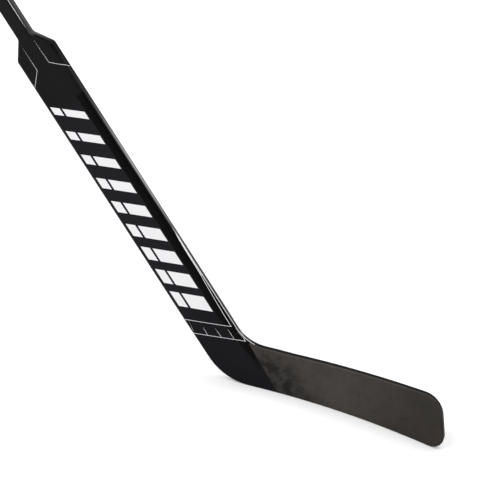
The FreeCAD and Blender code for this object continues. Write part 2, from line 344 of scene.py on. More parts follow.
class SurfaceGrid:
    """Outer surface of the whole stick as rows of closed section loops, with its normals.

    A row has ROUND_POINTS over each rounded edge, FACE_POINTS across each face and SIDE_POINTS across each
    narrow side. The front lacquer reaches LACQUER_WRAP columns on to the narrow sides.
    """

    ROUND_POINTS = 11
    FACE_POINTS = 26
    SIDE_POINTS = 5
    LACQUER_WRAP = 2
    LEAST_LENGTH = 1e-12
    SLOPE_REACH = 0.05 * MM

    def __init__(self, form: StickForm) -> None:
        """Work out the surface.

        Args:
            form: Sizes of the stick.
        """
        self.form = form
        self.paths = form.edge_paths()
        stops = [self._stops(path, end) for path, end in zip(self.paths, form.lacquer_ends)]
        self.rows: dict[Stretch, tuple[int, int]] = {}
        first = 0
        for stretch in Stretch:
            self.rows[stretch] = (first, first + stretch.value)
            first += stretch.value
        edges = [path.at(self._runs(ends)) for path, ends in zip(self.paths, stops)]
        front, back = self._half_loop(edges, Face.FRONT), self._half_loop(edges[::-1], Face.BACK)
        back_side = self._side(front[:, -1], back[:, 0])
        toe_side = self._side(back[:, -1], front[:, 0])
        self.half = front.shape[1]
        self.points = np.concatenate([front, back_side, back, toe_side], axis=1)
        self.total = self.points.shape[1]
        self.normals = self._normals()
        self._close_toe()

    @staticmethod
    def _runs(stops: np.ndarray) -> np.ndarray:
        """Distances along an edge path of every row.

        Args:
            stops: Distances at which the stretches begin and end.

        Returns:
            One distance for each row.
        """
        spans = zip(Stretch, stops, stops[1:])
        runs = [np.linspace(start, end, stretch.value, endpoint=False) for stretch, start, end in spans]
        return np.concatenate(runs + [stops[-1:]])

    def _close_toe(self) -> None:
        """Make the two halves of the last row, where the edges meet at the toe, the same."""
        mirrored = (self.half - 1 - np.arange(self.total)) % self.total
        for rows in (self.points, self.normals):
            rows[-1] = (rows[-1] + rows[-1, mirrored]) / 2
        self.normals[-1] /= np.linalg.norm(self.normals[-1], axis=1)[:, None]

    def _stops(self, path: EdgePath, lacquer_end: float) -> np.ndarray:
        """Distances along an edge path at which the stretches begin and end.

        Args:
            path: The edge.
            lacquer_end: Distance across at which the lacquer ends on this edge.

        Returns:
            One distance more than there are stretches.
        """
        form = self.form
        along = form.along(path.places)
        joint = int(np.argmin(np.abs(along - form.heel_joint)))
        descent = [np.interp(-level, -along[: joint + 1], path.run[: joint + 1])
                   for level in (form.shaft_start, form.shoulder_foot, form.heel_joint)]
        across = form.across(path.places)
        seam = np.interp(lacquer_end, across[joint:], path.run[joint:])
        return np.array([0.0, *descent, seam, path.run[-1]])

    def _half_loop(self, edges: list[tuple[np.ndarray, np.ndarray]], face: Face) -> np.ndarray:
        """Rows of points over one face, from the round of one edge to the round of the other.

        Args:
            edges: Places and inward normals of the two edges, in the order of travel.
            face: Which face.

        Returns:
            Points, rows by columns by three.
        """
        form = self.form
        angles = np.linspace(0, math.pi / 2, self.ROUND_POINTS)
        columns = []

        def over_edge(places: np.ndarray, normals: np.ndarray, order: Iterable[float]) -> None:
            """Add the columns of one edge's round.

            Args:
                places: Places along the edge.
                normals: Inward normals of the edge.
                order: Angles round the edge, in the order of travel.
            """
            radius = form.round_radius(places)
            for angle in order:
                spots = places + normals * (radius * (1 - math.cos(angle)))[:, None]
                columns.append(form.on_face(spots, face, radius * (1 - math.sin(angle))))

        (start, start_normals), (end, end_normals) = edges
        over_edge(start, start_normals, angles)
        near = start + start_normals * form.round_radius(start)[:, None]
        far = end + end_normals * form.round_radius(end)[:, None]
        for share in np.linspace(0, 1, self.FACE_POINTS)[1:-1]:
            columns.append(form.on_face(near + (far - near) * share, face))
        over_edge(end, end_normals, angles[::-1])
        return np.stack(columns, axis=1)

    def _side(self, start: np.ndarray, end: np.ndarray) -> np.ndarray:
        """Columns across a narrow side, between the columns that end the two faces' rounds."""
        shares = np.linspace(0, 1, self.SIDE_POINTS + 2)[1:-1]
        return np.stack([start + (end - start) * share for share in shares], axis=1)

    def _normals(self) -> np.ndarray:
        """Normals of the whole surface, from the points' neighbours along and around the stick.

        Returns:
            Unit normals, rows by columns by three.
        """
        lengthwise = np.gradient(self.points, axis=0)
        around = np.roll(self.points, -1, axis=1) - np.roll(self.points, 1, axis=1)
        normals = np.cross(around, lengthwise)
        length = np.linalg.norm(normals, axis=2, keepdims=True)
        normals[-1] = normals[-2]
        length[-1] = length[-2]
        return normals / np.maximum(length, self.LEAST_LENGTH)

    def between(self, rows: np.ndarray, columns: np.ndarray) -> tuple[np.ndarray, np.ndarray]:
        """Points and normals at places between the grid's own rows and columns.

        Args:
            rows: Row of each place, with its fraction.
            columns: Column of each place, with its fraction, counted on round the loop.

        Returns:
            The points and the normals.
        """
        row, column = np.floor(rows).astype(int), np.floor(columns).astype(int)
        down, over = (rows - row)[:, None], (columns - column)[:, None]
        here, beside = column % self.total, (column + 1) % self.total
        found = []
        for table in (self.points, self.normals):
            first, second = (
                (1.0 - over) * table[line, here] + over * table[line, beside] for line in (row, row + 1)
            )
            found.append((1.0 - down) * first + down * second)
        return found[0], found[1]

    def margin(self, places: np.ndarray) -> np.ndarray:
        """Distance from the nearer edge of places in the XZ plane."""
        return np.minimum(self.paths[0].distance(places), self.paths[1].distance(places))

    def over_front(self, places: np.ndarray) -> np.ndarray:
        """Points of the front face, over its rounded edges too.

        Args:
            places: Places in the XZ plane, one row each.

        Returns:
            Points, one row each.
        """
        radius = self.form.round_radius(places)
        inset = np.clip(radius - self.margin(places), 0.0, radius)
        return self.form.on_face(places, Face.FRONT, radius - np.sqrt(radius**2 - inset**2))

    def front_normals(self, places: np.ndarray) -> np.ndarray:
        """Normals of the front face and its rounded edges.

        Args:
            places: Places in the XZ plane, one row each.

        Returns:
            Unit normals, one row each.
        """
        steps = np.eye(2) * self.SLOPE_REACH
        rise = [self.over_front(places + step) - self.over_front(places - step) for step in steps]
        normals = np.cross(rise[0], rise[1])
        return normals / np.linalg.norm(normals, axis=1)[:, None]

    def face_columns(self, face: Face, wrap: int, short: int = 0) -> np.ndarray:
        """Columns of one broad face.

        Args:
            face: Which face.
            wrap: How many columns the front face reaches on to the narrow sides.
            short: How many columns the back face stops short of the narrow sides.

        Returns:
            Column numbers in order.
        """
        if face is Face.FRONT:
            return np.arange(-wrap, self.half + wrap) % self.total
        start = self.half + self.SIDE_POINTS
        return np.arange(start + short, start + self.half - short)

    def side_columns(self, toe_side: bool, wrap: int, short: int = 0) -> np.ndarray:
        """Columns of one narrow side, between the columns of the two faces.

        Args:
            toe_side: Whether it is the side towards the toe.
            wrap: How many columns the front face reaches on to it.
            short: How many columns the back face stops short of it.

        Returns:
            Column numbers in order.
        """
        if toe_side:
            start = 2 * self.half + self.SIDE_POINTS - 1 - short
            return np.arange(start, self.total - wrap + 1) % self.total
        return np.arange(self.half - 1 + wrap, self.half + self.SIDE_POINTS + 1 + short)


class ShellMesh:
    """Closed thin shell under patches of the surface grid, with points welded that lie within WELD."""

    WELD = 1e-7

    def __init__(self, grid: SurfaceGrid, wall: float) -> None:
        """Start an empty shell.

        Args:
            grid: Surface of the stick.
            wall: Thickness of the shell.
        """
        self.grid = grid
        self.wall = wall
        self.points: list[np.ndarray] = []
        self.normals: list[np.ndarray] = []
        self.faces: list[tuple[int, ...]] = []
        self.zones: list[int] = []

    def add(
        self,
        stretches: Sequence[Stretch],
        columns: np.ndarray,
        around: bool = False,
        toe: bool = False,
        second: Iterable[int] = (),
    ) -> None:
        """Add one patch with its inner wall and rims.

        Args:
            stretches: Lengthwise stretches that follow one another.
            columns: Columns of the grid, in order.
            around: Whether the last column joins the first.
            toe: Whether the patch runs out at the toe, where the two edges meet.
            second: Columns whose strip, up to the next column, has the shell's second finish.
        """
        first, last = self.grid.rows[stretches[0]][0], self.grid.rows[stretches[-1]][1]
        points = self.grid.points[first : last + 1][:, columns]
        normals = self.grid.normals[first : last + 1][:, columns]
        count, width = points.shape[:2]
        base = sum(len(block) for block in self.points)
        behind = count * width
        outer = base + np.arange(behind).reshape(count, width)
        self.points += [points.reshape(-1, 3), (points - normals * self.wall).reshape(-1, 3)]
        self.normals += [normals.reshape(-1, 3), -normals.reshape(-1, 3)]
        steps = width if around else width - 1
        accents = set(second)
        for column in range(steps):
            zone = int(columns[column] in accents)
            following = (column + 1) % width
            for row in range(count - 1):
                quad = (*outer[row, [column, following]], *outer[row + 1, [following, column]])
                self.faces += [quad, tuple(corner + behind for corner in reversed(quad))]
                self.zones += [zone, zone]
            self._rim(outer[0, following], outer[0, column], behind)
            if not toe:
                self._rim(outer[-1, column], outer[-1, following], behind)
        if not around:
            for row in range(count - 1):
                self._rim(outer[row, 0], outer[row + 1, 0], behind)
                self._rim(outer[row + 1, -1], outer[row, -1], behind)

    def _rim(self, first: int, second: int, behind: int) -> None:
        """Add the face between the outer and inner wall along one boundary edge."""
        self.faces.append((first, second, second + behind, first + behind))
        self.zones.append(0)

    def piece(self, name: str, *finishes: bpy.types.Material) -> bpy.types.Object:
        """Make the shell an object, with doubled points welded and the grid's normals kept.

        Args:
            name: Name of the piece.
            finishes: Its finish, and its second one where it has one.

        Returns:
            The new object.
        """
        points = np.concatenate(self.points)
        normals = np.concatenate(self.normals)
        steps = np.round(points / self.WELD)
        _, kept, index = np.unique(steps, axis=0, return_index=True, return_inverse=True)
        index = index.reshape(-1)
        faces, zones = [], []
        for face, zone in zip(self.faces, self.zones):
            corners = list(dict.fromkeys(int(index[corner]) for corner in face))
            if len(corners) > 2:
                faces.append(corners)
                zones.append(zone)
        mesh = bpy.data.meshes.new(name)
        mesh.from_pydata(points[kept].tolist(), [], faces)
        piece = add_piece(name, mesh, *finishes)
        mesh.polygons.foreach_set("material_index", zones)
        mesh.normals_split_custom_set_from_vertices(normals[kept].tolist())
        return piece


def add_piece(name: str, mesh: bpy.types.Mesh, *finishes: bpy.types.Material) -> bpy.types.Object:
    """Link a mesh as a new object with its finishes.

    Args:
        name: Name of the piece.
        mesh: Its mesh.
        finishes: Its finishes, in the order of its material slots.

    Returns:
        The new object.
    """
    piece = bpy.data.objects.new(name, mesh)
    bpy.context.scene.collection.objects.link(piece)
    mesh.materials.clear()
    for finish in finishes:
        mesh.materials.append(finish)
    return piece


def settle(piece: bpy.types.Object, slot: str, *nodes: str) -> None:
    """Tie a finished piece to the frame.

    Args:
        piece: The piece.
        slot: Material slot of the record; not used.
        nodes: CAD nodes that it stands for.
    """
    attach(piece, BODY)
    if nodes:
        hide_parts(*nodes)
    log.info("%s: %d faces", piece.name, len(piece.data.polygons))


@dataclass(frozen=True)
class Grain:
    """Scale, detail and roughness of a noise."""

    scale: float
    detail: float
    roughness: float = 0.55


class NodeTree:
    """Short way to place and join nodes in a material, node group or geometry tree."""

    def __init__(self, tree: bpy.types.NodeTree) -> None:
        """Wrap a tree.

        Args:
            tree: The tree to add to.
        """
        self.tree = tree

    def fill(self, node: bpy.types.Node, inputs: dict[Any, Any]) -> None:
        """Set or join inputs of a node.

        Args:
            node: The node.
            inputs: Input name or number to a value, or to an output socket to join.
        """
        for key, value in inputs.items():
            if isinstance(value, bpy.types.NodeSocket):
                self.tree.links.new(value, node.inputs[key])
            else:
                node.inputs[key].default_value = value

    def add(self, kind: str, inputs: dict[Any, Any] | None = None, **settings: Any) -> bpy.types.Node:
        """Add a node.

        Args:
            kind: Node type.
            inputs: Input name or number to a value, or to an output socket to join.
            settings: Attributes of the node.

        Returns:
            The node.
        """
        node = self.tree.nodes.new(kind)
        for name, value in settings.items():
            setattr(node, name, value)
        self.fill(node, inputs or {})
        return node

    def out(self, kind: str, inputs: dict[Any, Any] | None = None, **settings: Any) -> bpy.types.NodeSocket:
        """First output of a new node."""
        return self.add(kind, inputs, **settings).outputs[0]

    def math(self, operation: str, first: Any, second: Any = 0.0, third: Any = 0.0) -> bpy.types.NodeSocket:
        """Result of a Math node."""
        return self.out("ShaderNodeMath", {0: first, 1: second, 2: third}, operation=operation)

    def ramp(
        self, value: Any, low: float, high: float, start: float = 0.0, end: float = 1.0
    ) -> bpy.types.NodeSocket:
        """Value mapped smoothly from one span to another."""
        inputs = {"Value": value, "From Min": low, "From Max": high, "To Min": start, "To Max": end}
        return self.out("ShaderNodeMapRange", inputs, interpolation_type="SMOOTHSTEP")

    def mix(self, share: Any, first: Any, second: Any) -> bpy.types.NodeSocket:
        """Mix of two colours."""
        node = self.add("ShaderNodeMix", {0: share, 6: first, 7: second}, data_type="RGBA")
        return node.outputs[2]

    def noise(self, place: Any, grain: Grain) -> bpy.types.NodeSocket:
        """Value of a noise texture."""
        sizes = {"Scale": grain.scale, "Detail": grain.detail, "Roughness": grain.roughness}
        return self.out("ShaderNodeTexNoise", {"Vector": place} | sizes)


def opaque(colour: Sequence[float], share: float = 1.0) -> tuple[float, ...]:
    """Colour at a share of its strength, with its alpha."""
    return tuple(share * part for part in colour) + (1.0,)


def shader_group(name: str, inputs: dict[str, float], outputs: Sequence[str]) -> tuple[NodeTree, Any, Any]:
    """New shader node group with value sockets and a vector input for the place.

    Args:
        name: Name of the group.
        inputs: Value inputs and their defaults.
        outputs: Value outputs.

    Returns:
        The tree, its input node and its output node.
    """
    tree = bpy.data.node_groups.new(name, "ShaderNodeTree")
    sockets = tree.interface
    sockets.new_socket(name="Place", in_out="INPUT", socket_type="NodeSocketVector")
    for label, value in inputs.items():
        sockets.new_socket(name=label, in_out="INPUT", socket_type="NodeSocketFloat").default_value = value
    for label in outputs:
        sockets.new_socket(name=label, in_out="OUTPUT", socket_type="NodeSocketFloat")
    nodes = NodeTree(tree)
    return nodes, nodes.add("NodeGroupInput"), nodes.add("NodeGroupOutput")


class SurfaceEffects:
    """Shader node groups that several finishes share, each built once, and the form that they lie on."""

    TONE_LOW = 0.75
    TONE_SPAN = 0.5
    RIPPLE = Grain(420.0, 2.0)
    SLOW = Grain(9.0, 3.0)
    DUST = Grain(2600.0, 1.0)
    DUST_ENDS = (0.68, 0.8)
    DUST_SHEEN = 0.05
    BROAD = Grain(16.0, 4.0, 0.6)
    PATCHY = Grain(55.0, 5.0, 0.62)
    BROAD_SHARE = 0.6
    FLECK = Grain(140.0, 4.0, 0.62)
    FLECK_ENDS = (0.56, 0.74)
    STAIN = Grain(72.0, 2.5, 0.5)
    STAIN_ENDS = (0.4, 0.62)

    def __init__(self, form: StickForm) -> None:
        """Build the groups.

        Args:
            form: Sizes of the stick.
        """
        self.form = form
        self.sprayed = self._sprayed()
        self.laminate = self._laminate()

    def _sprayed(self) -> bpy.types.NodeTree:
        """Sprayed coat: a faint ripple, fine dust and slow changes of sheen.

        Returns:
            The node group.
        """
        outputs = ("Tone", "Sheen", "Height")
        nodes, given, result = shader_group("sprayed_coat", {"Sheen Change": 0.08}, outputs)
        place = given.outputs["Place"]
        slow = nodes.noise(place, self.SLOW)
        dust = nodes.ramp(nodes.noise(place, self.DUST), *self.DUST_ENDS)
        change = nodes.math("MULTIPLY", nodes.math("SUBTRACT", slow, 0.5), given.outputs["Sheen Change"])
        tone = nodes.math("MULTIPLY_ADD", slow, self.TONE_SPAN, self.TONE_LOW)
        sheen = nodes.math("MULTIPLY_ADD", dust, self.DUST_SHEEN, change)
        nodes.fill(result, {"Tone": tone, "Sheen": sheen, "Height": nodes.noise(place, self.RIPPLE)})
        return nodes.tree

    def _laminate(self) -> bpy.types.NodeTree:
        """Bare laminate: cloudy resin patches, dark flecks, resin stains and a fine crossed weave.

        Returns:
            The node group.
        """
        outputs = ("Cloud", "Fleck", "Stain", "Height")
        nodes, given, result = shader_group("bare_laminate", {"Weave Scale": 900.0}, outputs)
        place = given.outputs["Place"]
        broad = nodes.math("MULTIPLY", nodes.noise(place, self.BROAD), self.BROAD_SHARE)
        patchy = nodes.noise(place, self.PATCHY)
        cloud = nodes.math("MULTIPLY_ADD", patchy, 1.0 - self.BROAD_SHARE, broad)
        fleck = nodes.ramp(nodes.noise(place, self.FLECK), *self.FLECK_ENDS)
        stain = nodes.ramp(nodes.noise(place, self.STAIN), *self.STAIN_ENDS)
        split = nodes.add("ShaderNodeSeparateXYZ", {0: place}).outputs
        waves = []
        for slope in (1.0, -1.0):
            across = nodes.math("MULTIPLY_ADD", split["Z"], slope, split["X"])
            angle = nodes.math("MULTIPLY", across, given.outputs["Weave Scale"])
            waves.append(nodes.math("SINE", angle))
        weave = nodes.math("MULTIPLY", *waves)
        nodes.fill(result, {"Cloud": cloud, "Fleck": fleck, "Stain": stain, "Height": weave})
        return nodes.tree


class Finish:
    """Base of the finishes: a material with a Principled shader and the shared effects."""

    @staticmethod
    def start(name: str) -> tuple[NodeTree, bpy.types.Node, bpy.types.Material]:
        """New material.

        Args:
            name: Name of the material.

        Returns:
            Its nodes, its shader and the material.
        """
        material = bpy.data.materials.new(name)
        material.use_nodes = True
        return NodeTree(material.node_tree), material.node_tree.nodes["Principled BSDF"], material

    @staticmethod
    def place(nodes: NodeTree, lean: float = 0.0) -> bpy.types.NodeSocket:
        """Object coordinates, turned so that Z runs along the paddle where a lean is given.

        Args:
            nodes: Nodes of the material.
            lean: The paddle's lean.

        Returns:
            The place.
        """
        source = nodes.add("ShaderNodeTexCoord").outputs["Object"]
        if not lean:
            return source
        turn = (0.0, math.pi / 2 - lean, 0.0)
        return nodes.out("ShaderNodeMapping", {"Vector": source, "Rotation": turn})

    @staticmethod
    def bump(nodes: NodeTree, height: Any, depth: float) -> bpy.types.NodeSocket:
        """Normal of a surface with a fine relief."""
        return nodes.out("ShaderNodeBump", {"Height": height, "Strength": 1.0, "Distance": depth})


@dataclass(frozen=True)
class Lacquer(Finish):
    """Sprayed lacquer of the paddle and shaft, placed along and across the paddle.

    The field has a paler panel and dark borders, the shoulder's rounds painted shade and the shaft's sides a
    painted highlight.
    Where there is a gloss coat, it thins out up the paddle and comes back at the shoulder, to coat_shares
    of its full weight.
    """

    name: str
    field_tone: float
    panel_tone: float
    border_tone: float
    roughness: float
    specular: float
    borders: tuple[float, float] = (-20 * MM, -20 * MM)
    border_softness: float = 1.2 * MM
    border_foot: tuple[float, float] = (-20 * MM, 28 * MM)
    border_head: tuple[float, float] = (535 * MM, 543 * MM)
    border_drift: float = 9 * MM
    # Painted shade on the shoulder's rounded edges: where it comes in along the paddle, and how far below
    # the face.
    shoulder_shade_foot: tuple[float, float] = (592 * MM, 636 * MM)
    shoulder_shade_depths: tuple[float, float] = (0.3 * MM, 1.3 * MM)
    panel_foot: tuple[float, float] = (110 * MM, 165 * MM)
    panel_head: tuple[float, float] = (505 * MM, 545 * MM)
    panel_tint: tuple[float, float, float] = (0.95, 0.97, 1.16)
    cool_ends: tuple[float, float] = (250 * MM, 500 * MM)
    cool_tint: tuple[float, float, float] = (0.97, 0.97, 1.18)
    # Painted highlight on the shaft's narrow sides: its paler tone, where it comes in along the paddle, and
    # how far below the face.
    side_highlight_tone: float = 0.034
    side_highlight_foot: tuple[float, float] = (634 * MM, 654 * MM)
    side_highlight_depths: tuple[float, float] = (1.9 * MM, 2.5 * MM)
    coat: float = 0.0
    coat_foot: tuple[float, float] = (395 * MM, 545 * MM)
    coat_head: tuple[float, float] = (622 * MM, 655 * MM)
    coat_shares: tuple[float, float] = (0.03, 0.8)
    relief: float = 0.004 * MM

    def build(self, effects: SurfaceEffects) -> bpy.types.Material:
        """Make the material.

        Args:
            effects: Shared node groups.

        Returns:
            The material.
        """
        nodes, shader, material = self.start(self.name)
        place = self.place(nodes, effects.form.lean)
        spray = nodes.add("ShaderNodeGroup", {"Place": place}, node_tree=effects.sprayed).outputs
        split = nodes.add("ShaderNodeSeparateXYZ", {0: place}).outputs
        across, along = split["X"], split["Z"]
        inward = nodes.math("SUBTRACT", effects.form.thickness / 2, nodes.math("ABSOLUTE", split["Y"]))
        # Painted shade: the shoulder's rounded front edges are darkened to the border tone, for the dark
        # reflection there.
        shoulder = self._between(nodes, along, self.shoulder_shade_foot, self.side_highlight_foot)
        rounding = nodes.math("MULTIPLY", nodes.ramp(inward, *self.shoulder_shade_depths), shoulder)
        border = self._border(nodes, across, along, effects.form.paddle_width)
        dark = opaque((self.border_tone,) * 3)
        edged = nodes.mix(nodes.math("MAXIMUM", border, rounding), self._field(nodes, along), dark)
        toned = nodes.mix(nodes.math("SUBTRACT", spray["Tone"], effects.TONE_LOW), edged, dark)
        # Painted highlight: the shaft's narrow sides are lightened to a paler grey, for the light that they
        # reflect.
        sides = nodes.ramp(inward, *self.side_highlight_depths)
        pale = nodes.math("MULTIPLY", sides, nodes.ramp(along, *self.side_highlight_foot))
        looks = {
            "Base Color": nodes.mix(pale, toned, opaque((self.side_highlight_tone,) * 3)),
            "Roughness": nodes.math("ADD", spray["Sheen"], self.roughness),
            "Specular IOR Level": self.specular,
            "Normal": self.bump(nodes, spray["Height"], self.relief),
        }
        if self.coat:
            middle, top = (share * self.coat for share in self.coat_shares)
            foot = nodes.ramp(along, *self.coat_foot, self.coat, middle)
            head = nodes.ramp(along, *self.coat_head, 0.0, top)
            looks |= {"Coat Weight": nodes.math("ADD", foot, head), "Coat Roughness": self.roughness}
        nodes.fill(shader, looks)
        return material

    @staticmethod
    def _between(nodes: NodeTree, along: Any, foot: Sequence[float], head: Sequence[float]) -> Any:
        """Mask that comes in over one stretch of the paddle and goes out over another."""
        return nodes.math("MULTIPLY", nodes.ramp(along, *foot), nodes.ramp(along, *head, 1.0, 0.0))

    def _border(self, nodes: NodeTree, across: Any, along: Any, width: float) -> bpy.types.NodeSocket:
        """Mask of the dark borders beside the paddle's two edges.

        Args:
            nodes: Nodes of the material.
            across: Distance across the paddle.
            along: Distance along the paddle.
            width: Width of the paddle.

        Returns:
            The mask.
        """
        near, far = self.borders[0], width - self.borders[1]
        soft = self.border_softness
        back_side = nodes.ramp(across, near + soft, near - soft)
        drift = nodes.ramp(along, self.panel_foot[0], 0.0, 0.0, self.border_drift)
        toe_side = nodes.ramp(nodes.math("SUBTRACT", across, drift), far - soft, far + soft)
        ended = self._between(nodes, along, self.border_foot, self.border_head)
        return nodes.math("MULTIPLY", nodes.math("MAXIMUM", back_side, toe_side), ended)

    def _field(self, nodes: NodeTree, along: Any) -> bpy.types.NodeSocket:
        """Colour of the field, cooler low down, and of the panel on it.

        Args:
            nodes: Nodes of the material.
            along: Distance along the paddle.

        Returns:
            The colour.
        """
        cool, plain = opaque(self.cool_tint, self.field_tone), opaque((self.field_tone,) * 3)
        field_colour = nodes.mix(nodes.ramp(along, *self.cool_ends), cool, plain)
        panel = self._between(nodes, along, self.panel_foot, self.panel_head)
        return nodes.mix(panel, field_colour, opaque(self.panel_tint, self.panel_tone))


@dataclass(frozen=True)
class BareLaminate(Finish):
    """Unpainted laminate of the blade under a satin resin, stained by the heel, with painted shade towards
    the toe.
    """

    name: str
    light: tuple[float, float, float]
    dark: tuple[float, float, float]
    roughness: float
    specular: float
    cloud_ends: tuple[float, float] = (0.62, 0.36)
    cloud_shade: float = 0.27
    stain_ends: tuple[float, float] = (165 * MM, 98 * MM)
    stain_heights: tuple[float, float] = (88 * MM, 48 * MM)
    stain_high_share: float = 0.2
    stain_shade: float = 0.48
    stain_change: float = 0.54
    # Painted shade towards the toe: where it comes in along the blade, and its strength.
    toe_ends: tuple[float, float] = (190 * MM, 390 * MM)
    toe_painted_shade: float = 0.56
    fleck_shade: float = 0.4
    sheen_span: float = 0.18
    relief: float = 0.01 * MM

    def build(self, effects: SurfaceEffects) -> bpy.types.Material:
        """Make the material.

        Args:
            effects: Shared node groups.

        Returns:
            The material.
        """
        nodes, shader, material = self.start(self.name)
        place = self.place(nodes)
        cloth = nodes.add("ShaderNodeGroup", {"Place": place}, node_tree=effects.laminate).outputs
        dark = opaque(self.dark)
        clouds = nodes.ramp(cloth["Cloud"], *self.cloud_ends, 0.0, self.cloud_shade)
        base = nodes.mix(clouds, opaque(self.light), dark)
        split = nodes.add("ShaderNodeSeparateXYZ", {0: place}).outputs
        across = nodes.out("ShaderNodeSeparateXYZ", {0: self.place(nodes, effects.form.lean)})
        low = nodes.ramp(split["Z"], *self.stain_heights, self.stain_high_share, 1.0)
        zone = nodes.math("MULTIPLY", nodes.ramp(across, *self.stain_ends), low)
        stained = nodes.math("MULTIPLY_ADD", cloth["Stain"], self.stain_change, self.stain_shade)
        # Painted shade: the laminate darkens smoothly towards the toe.
        shade = nodes.ramp(split["X"], *self.toe_ends, 0.0, self.toe_painted_shade)
        toned = nodes.mix(nodes.math("MULTIPLY_ADD", zone, stained, shade), base, dark)
        flecks = nodes.math("MULTIPLY", cloth["Fleck"], self.fleck_shade)
        roughest = self.roughness + self.sheen_span / 2
        looks = {
            "Base Color": nodes.mix(flecks, toned, dark),
            "Roughness": nodes.math("MULTIPLY_ADD", cloth["Cloud"], -self.sheen_span, roughest),
            "Specular IOR Level": self.specular,
            "Normal": self.bump(nodes, cloth["Height"], self.relief),
        }
        nodes.fill(shader, looks)
        return material


@dataclass(frozen=True)
class PlainCoat(Finish):
    """One-colour paint, foam or rubber with the sprayed coat's slow changes of tone."""

    name: str
    colour: tuple[float, float, float]
    roughness: float
    specular: float
    relief: float
    shade: float = 0.86
    sheen_change: float = 0.12

    def build(self, effects: SurfaceEffects) -> bpy.types.Material:
        """Make the material.

        Args:
            effects: Shared node groups.

        Returns:
            The material.
        """
        nodes, shader, material = self.start(self.name)
        given = {"Place": self.place(nodes), "Sheen Change": self.sheen_change}
        coat = nodes.add("ShaderNodeGroup", given, node_tree=effects.sprayed).outputs
        shaded = nodes.math("SUBTRACT", effects.TONE_LOW + effects.TONE_SPAN, coat["Tone"])
        looks = {
            "Base Color": nodes.mix(shaded, opaque(self.colour), opaque(self.colour, self.shade)),
            "Roughness": nodes.math("ADD", coat["Sheen"], self.roughness),
            "Specular IOR Level": self.specular,
            "Normal": self.bump(nodes, coat["Height"], self.relief),
        }
        nodes.fill(shader, looks)
        return material


@dataclass(frozen=True)
class Finishes:
    """Every finish of the stick, built as materials."""

    paddle: bpy.types.Material
    shaft: bpy.types.Material
    edge: bpy.types.Material
    blade: bpy.types.Material
    rim: bpy.types.Material
    painted_shade_bead: bpy.types.Material
    paint: bpy.types.Material
    foam: bpy.types.Material
    moulded: bpy.types.Material
    rubber: bpy.types.Material

    @classmethod
    def make(cls, form: StickForm) -> "Finishes":
        """Build all materials.

        Args:
            form: Sizes of the stick.

        Returns:
            The finishes.
        """
        effects = SurfaceEffects(form)
        paddle = Lacquer(
            "paddle_lacquer",
            field_tone=0.0082,
            panel_tone=0.0135,
            border_tone=0.0003,
            roughness=0.2,
            specular=0.05,
            borders=(4 * MM, 14 * MM),
            side_highlight_foot=(648 * MM, 658 * MM),
        )
        blade = BareLaminate(
            "blade_laminate",
            light=(0.046, 0.039, 0.034),
            dark=(0.0045, 0.0036, 0.003),
            roughness=0.42,
            specular=0.15,
        )
        rim = BareLaminate(
            "blade_edge",
            light=(0.011, 0.010, 0.009),
            dark=(0.004, 0.004, 0.004),
            roughness=0.5,
            specular=0.03,
        )
        finishes = (
            paddle,
            Lacquer("shaft_lacquer", 0.0075, 0.0075, 0.005, roughness=0.2, specular=0.06),
            Lacquer("edge_lacquer", 0.003, 0.003, 0.003, roughness=0.16, specular=0.02, coat=0.75),
            blade,
            rim,
            # Painted shade: near-black and without reflection, for the dark line along the blade's back
            # edge.
            PlainCoat("blade_painted_shade_bead", (0.006, 0.006, 0.006), roughness=0.5, specular=0.0, relief=0.01 * MM),
            PlainCoat("line_paint", (0.82, 0.82, 0.83), roughness=0.3, specular=0.3, relief=0.003 * MM),
            PlainCoat("core_foam", (0.62, 0.56, 0.44), roughness=0.85, specular=0.1, relief=0.2 * MM),
            PlainCoat("moulded_core", (0.05, 0.05, 0.052), roughness=0.6, specular=0.3, relief=0.03 * MM),
            PlainCoat("plug_rubber", (0.016, 0.016, 0.016), roughness=0.62, specular=0.25, relief=0.05 * MM),
        )
        return cls(*(finish.build(effects) for finish in finishes))


@dataclass
class Shaft:
    """Hollow shaft above the paddle, with its plug and spigot."""

    grid: SurfaceGrid
    finishes: Finishes
    wall: float = 2 * MM

    def build(self) -> None:
        """Make the tube."""
        shell = ShellMesh(self.grid, self.wall)
        wrap = self.grid.LACQUER_WRAP
        sides = [self.grid.side_columns(toe_side, wrap)[:-1] for toe_side in (True, False)]
        shell.add([Stretch.SHAFT], np.arange(self.grid.total), around=True, second=np.concatenate(sides))
        sleeve = shell.piece("shaft_sleeve", self.finishes.shaft, self.finishes.edge)
        settle(sleeve, "shaft_lacquer", "shaft_tube")

    def dress(self, nodes: dict[str, bpy.types.Object]) -> None:
        """Give the carried-over solids their finish."""
        dress_nodes(nodes, self.finishes.rubber, "end_plug")
        dress_nodes(nodes, self.finishes.moulded, "shaft_spigot")


